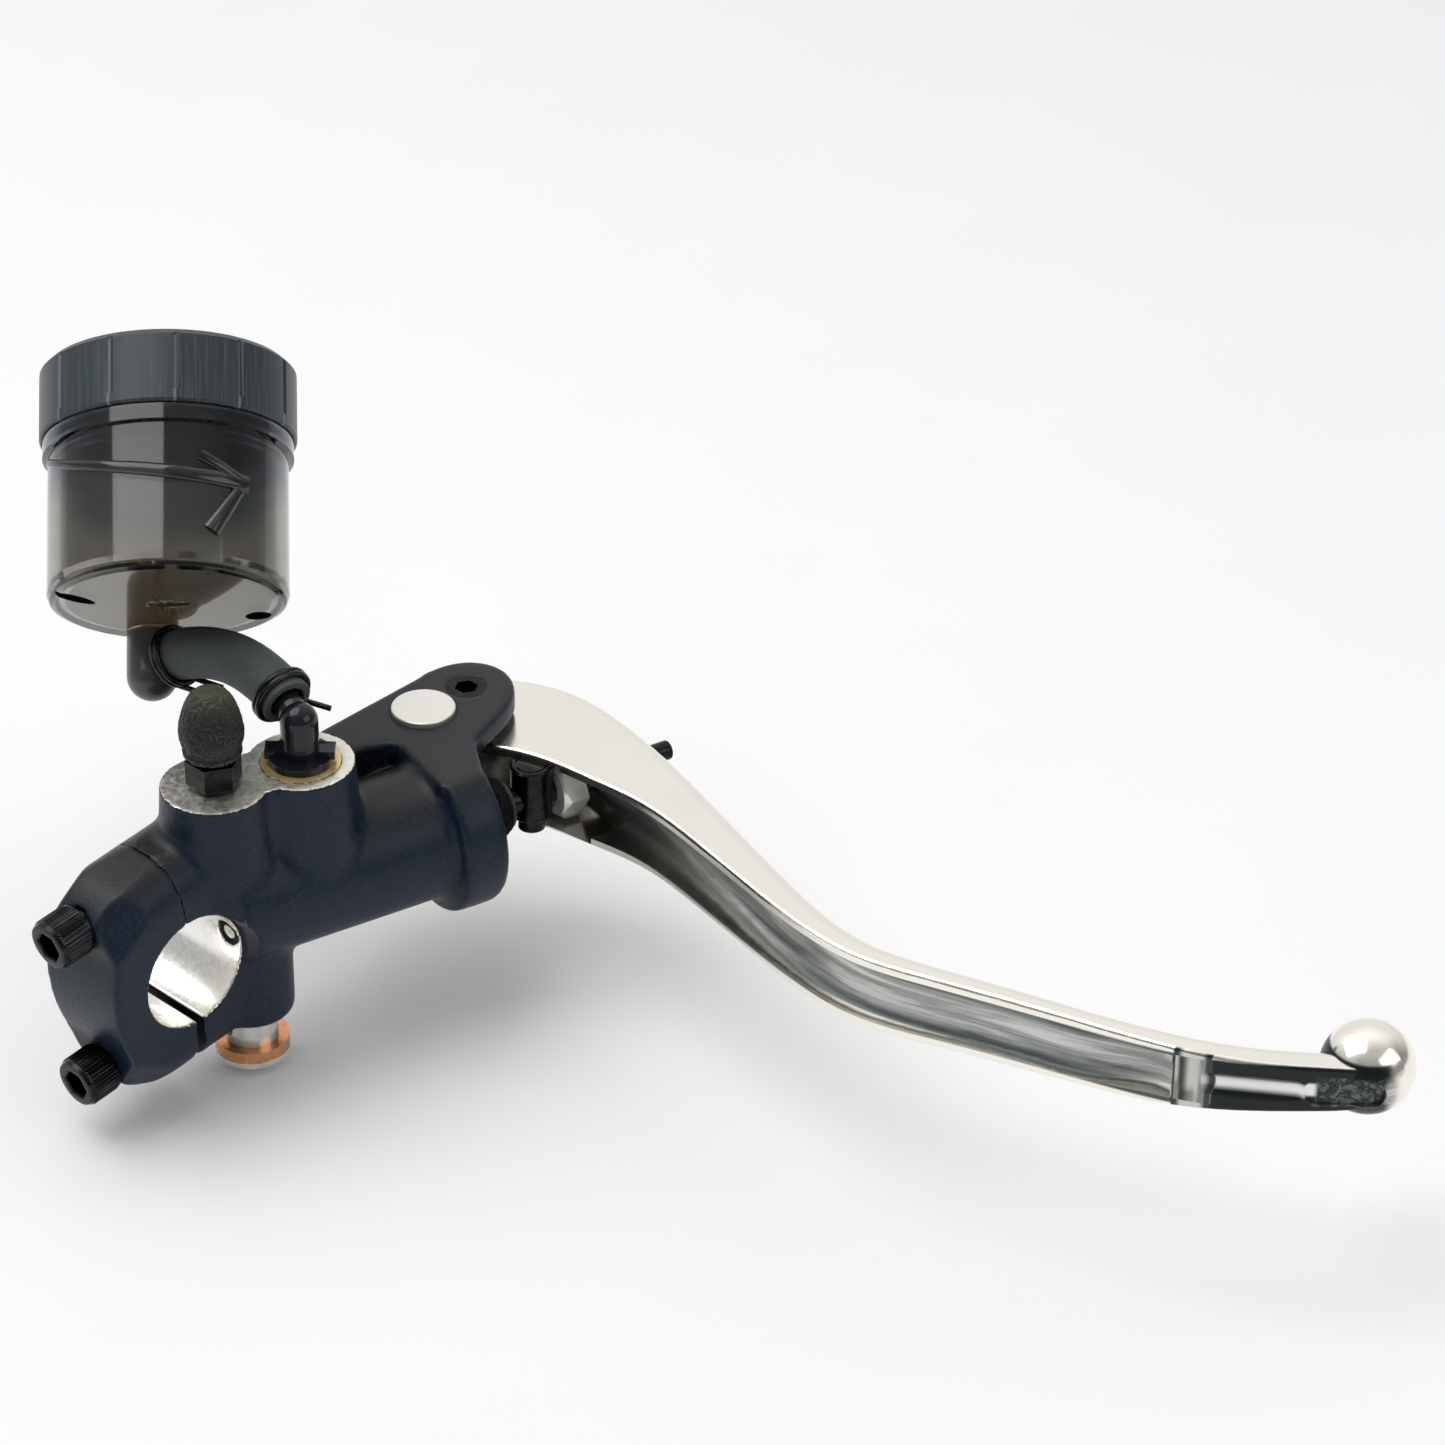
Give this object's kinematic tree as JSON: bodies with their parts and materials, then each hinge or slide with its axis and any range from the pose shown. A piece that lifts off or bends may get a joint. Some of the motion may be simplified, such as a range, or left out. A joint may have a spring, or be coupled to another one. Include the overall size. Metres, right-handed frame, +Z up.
{
  "type": "brake master cylinder",
  "caption": "Radial brake master cylinder for a motorcycle handlebar, with a polished lever, bleed screw, banjo outlet and a remote smoked fluid reservoir on a short hose.",
  "frame": {"origin": "on the handlebar's axis at the middle of the clamp's width", "axes": "+X along the handlebar towards the lever's ball end, +Y forward from the bar, +Z up along the lever's pivot axis"},
  "size_m": [0.2629, 0.1506, 0.1268],
  "materials": {
    "black_cast": "fine-grained satin black coating with a blue cast",
    "black_oxide": "black oxide, satin",
    "polished_aluminium": "hand-polished",
    "machined_aluminium": "fine-turned, bare",
    "zinc_steel": "bright zinc",
    "spring_steel": "oiled",
    "copper": "soft copper, turned",
    "bronze": "plain bearing bronze",
    "gold_ring": "yellow passivated",
    "gloss_black_plastic": "glossy moulded",
    "cap_plastic": "satin moulded, slate",
    "smoked_plastic": "smoked translucent",
    "hose_rubber": "matte extruded rubber",
    "soft_rubber": "moulded rubber",
    "badge_metal": "satin, blank"
  },
  "bodies": {
    "housing": {"cylinder_body": "black_cast", "clamp_cap": "black_cast", "clamp_bolts": "black_oxide", "bar_locating_pin": "machined_aluminium", "badge_disc": "badge_metal", "inlet_elbow": "gloss_black_plastic", "inlet_o_ring": "soft_rubber", "inlet_retaining_ring": "gold_ring", "banjo_bolt": "zinc_steel", "crush_washers": "copper", "return_spring": "spring_steel", "piston_stop_washer": "zinc_steel", "piston_circlip": "spring_steel", "dust_boot": "soft_rubber", "reservoir_body": "smoked_plastic", "diaphragm_ring": "cap_plastic", "reservoir_diaphragm": "soft_rubber", "reservoir_hose": "hose_rubber", "hose_clips": "spring_steel", "pivot_bolt": "black_oxide", "pivot_nut": "zinc_steel"},
    "lever": {"lever_blade": "polished_aluminium", "lever_bush": "bronze"},
    "trunnion": {"trunnion_pin": "black_oxide"},
    "adjuster": {"pushrod": "black_oxide", "adjuster_nut": "zinc_steel"},
    "piston_group": {"piston": "machined_aluminium", "primary_cup": "soft_rubber", "secondary_seal": "soft_rubber"},
    "bleed": {"bleed_screw": "black_oxide", "bleed_screw_cap": "soft_rubber"},
    "jar_cap": {"reservoir_cap": "cap_plastic"}
  },
  "joints": [
    {"name": "lever_pivot", "type": "hinge", "parent": "housing", "child": "lever", "pos_m": [0.00037, 0.07801, 0.007], "axis": [0, 0, -1], "range_deg": [0, 15]},
    {"name": "trunnion_turn", "type": "hinge", "parent": "lever", "child": "trunnion", "pos_m": [0.02021, 0.07544, 0.007], "axis": [0, 0, -1], "range_deg": [-15, 0]},
    {"name": "adjuster_turn", "type": "hinge", "parent": "trunnion", "child": "adjuster", "pos_m": [0.02021, 0.07544, 0.007], "axis": [0.2588, 0.9659, 0], "continuous": true},
    {"name": "piston_slide", "type": "slide", "parent": "housing", "child": "piston_group", "axis": [-0.2588, -0.9659, 0], "range_m": [0, 0.00522], "deforming": ["return_spring", "dust_boot"]},
    {"name": "bleed_screw_turn", "type": "hinge", "parent": "housing", "child": "bleed", "pos_m": [0.00281, 0.01281, 0.034], "axis": [0, 0, 1], "range_deg": [0, 180]},
    {"name": "reservoir_cap_turn", "type": "hinge", "parent": "housing", "child": "jar_cap", "pos_m": [-0.0244, 0.0272, 0.0513], "axis": [-0.5535, 0.5312, 0.6414], "continuous": true}
  ],
  "couplings": [
    {"joint": "trunnion_turn", "follows": "lever_pivot", "ratio": -1},
    {"joint": "piston_slide", "follows": "lever_pivot", "m_per_rad": 0.019949}
  ]
}
